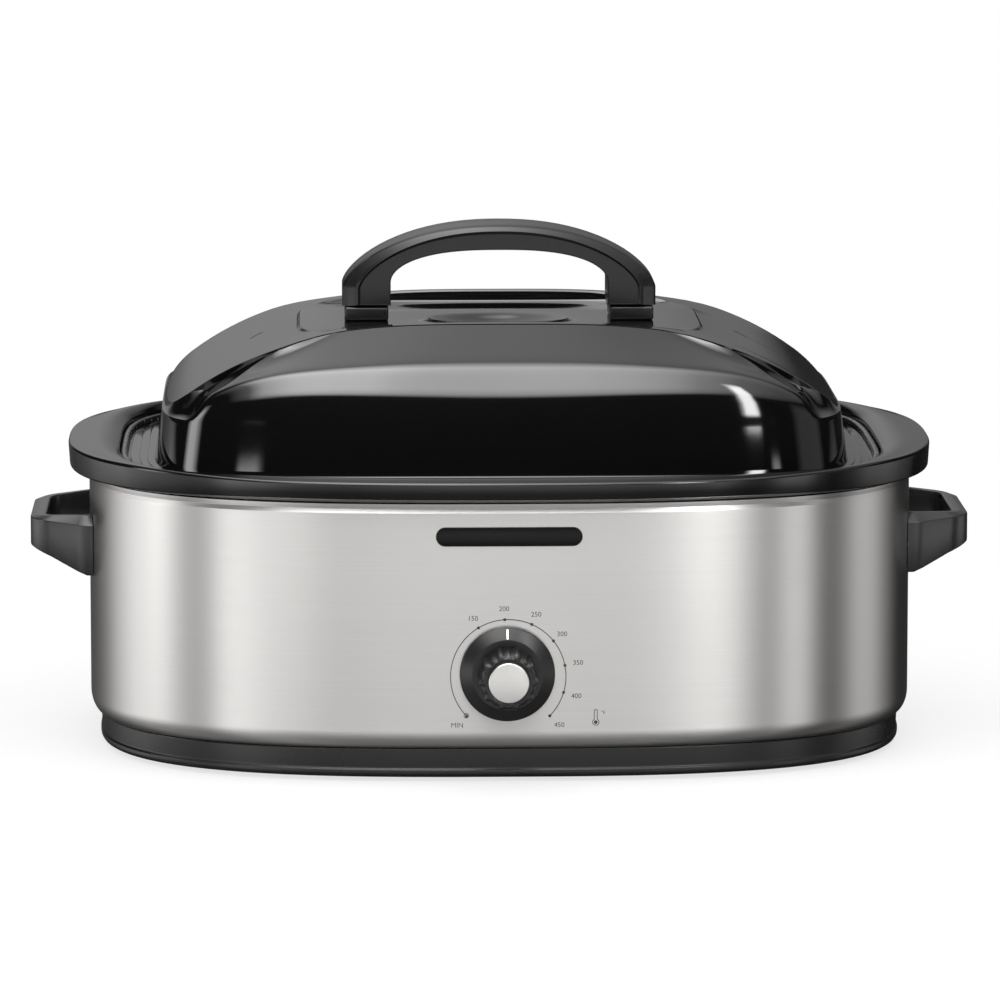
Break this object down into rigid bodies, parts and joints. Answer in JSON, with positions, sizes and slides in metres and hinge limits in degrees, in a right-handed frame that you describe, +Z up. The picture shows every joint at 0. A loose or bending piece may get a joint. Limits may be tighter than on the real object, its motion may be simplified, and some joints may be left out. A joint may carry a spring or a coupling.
{
  "type": "electric roaster oven",
  "caption": "Countertop electric roaster oven: oval-cornered steel body on a black base, lift-out pan with rack, domed lift-off lid with arched handle, side handles and a front heat knob.",
  "frame": {"origin": "on the table under the middle of the footprint, which includes the knob", "axes": "+X to the right of someone facing the knob, -Y towards them, +Z up"},
  "size_m": [0.58, 0.4354, 0.318],
  "materials": {
    "brushed_steel": "brushed round the body, satin",
    "cap_steel": "spun satin disc",
    "lid_enamel": "gloss black enamel",
    "rim_black": "gloss black moulding",
    "base_black": "satin black moulding",
    "handle_black": "fine satin black moulding",
    "knob_black": "satin black moulding",
    "badge_black": "plain black plate with a pale rim",
    "pan_enamel": "dark speckled enamel",
    "rack_chrome": "plated wire",
    "bare_steel": "zinc-plated fasteners",
    "aluminised": "aluminised sheet",
    "heater_band": "foil-faced heating strip",
    "insulation": "glass-fibre felt",
    "moulded_board": "heat-resistant moulding",
    "soft_rubber": "matt black rubber"
  },
  "bodies": {
    "base": {"base_tray": "base_black", "foot_front_left": "soft_rubber", "foot_front_right": "soft_rubber", "foot_rear_left": "soft_rubber", "foot_rear_right": "soft_rubber", "base_screw_front_left": "bare_steel", "base_screw_front_right": "bare_steel", "base_screw_rear_left": "bare_steel", "base_screw_rear_right": "bare_steel", "body_wrap": "brushed_steel", "rim_collar": "rim_black", "inner_well": "aluminised", "heater_band_lower": "heater_band", "heater_band_upper": "heater_band", "insulation_blanket": "insulation", "heat_shield": "aluminised", "centre_tie": "bare_steel", "tie_nut": "bare_steel", "thermostat_body": "moulded_board", "thermostat_nut": "bare_steel", "thermostat_bracket": "bare_steel", "sensor_pad": "aluminised", "terminal_block": "moulded_board", "cord_gland": "soft_rubber", "blank_badge": "badge_black", "side_handle_left": "handle_black", "side_handle_right": "handle_black", "handle_washer_front_left": "bare_steel", "handle_washer_front_right": "bare_steel", "handle_washer_rear_left": "bare_steel", "handle_washer_rear_right": "bare_steel", "handle_screw_front_left": "bare_steel", "handle_screw_front_right": "bare_steel", "handle_screw_rear_left": "bare_steel", "handle_screw_rear_right": "bare_steel"},
    "knob": {"control_knob": "knob_black", "knob_cap": "cap_steel", "thermostat_shaft": "bare_steel"},
    "insert_pan": {"insert_pan": "pan_enamel"},
    "rack": {"roasting_rack": "rack_chrome"},
    "lid": {"lid_shell": "lid_enamel", "lid_handle": "handle_black", "lid_spacer_left": "handle_black", "lid_spacer_right": "handle_black", "lid_washer_left": "bare_steel", "lid_washer_right": "bare_steel", "lid_screw_left": "bare_steel", "lid_screw_right": "bare_steel"}
  },
  "joints": [
    {"name": "knob_turn", "type": "hinge", "parent": "base", "child": "knob", "pos_m": [0, -0.18125, 0.067], "axis": [0, 1, 0], "range_deg": [-130, 138]},
    {"name": "pan_lift", "type": "slide", "parent": "base", "child": "insert_pan", "axis": [0, 0, 1], "range_m": [0, 0.16]},
    {"name": "rack_lift", "type": "slide", "parent": "insert_pan", "child": "rack", "axis": [0, 0, 1], "range_m": [0, 0.14]},
    {"name": "lid_lift", "type": "slide", "parent": "rack", "child": "lid", "axis": [0, 0, 1], "range_m": [0, 0.12]}
  ]
}
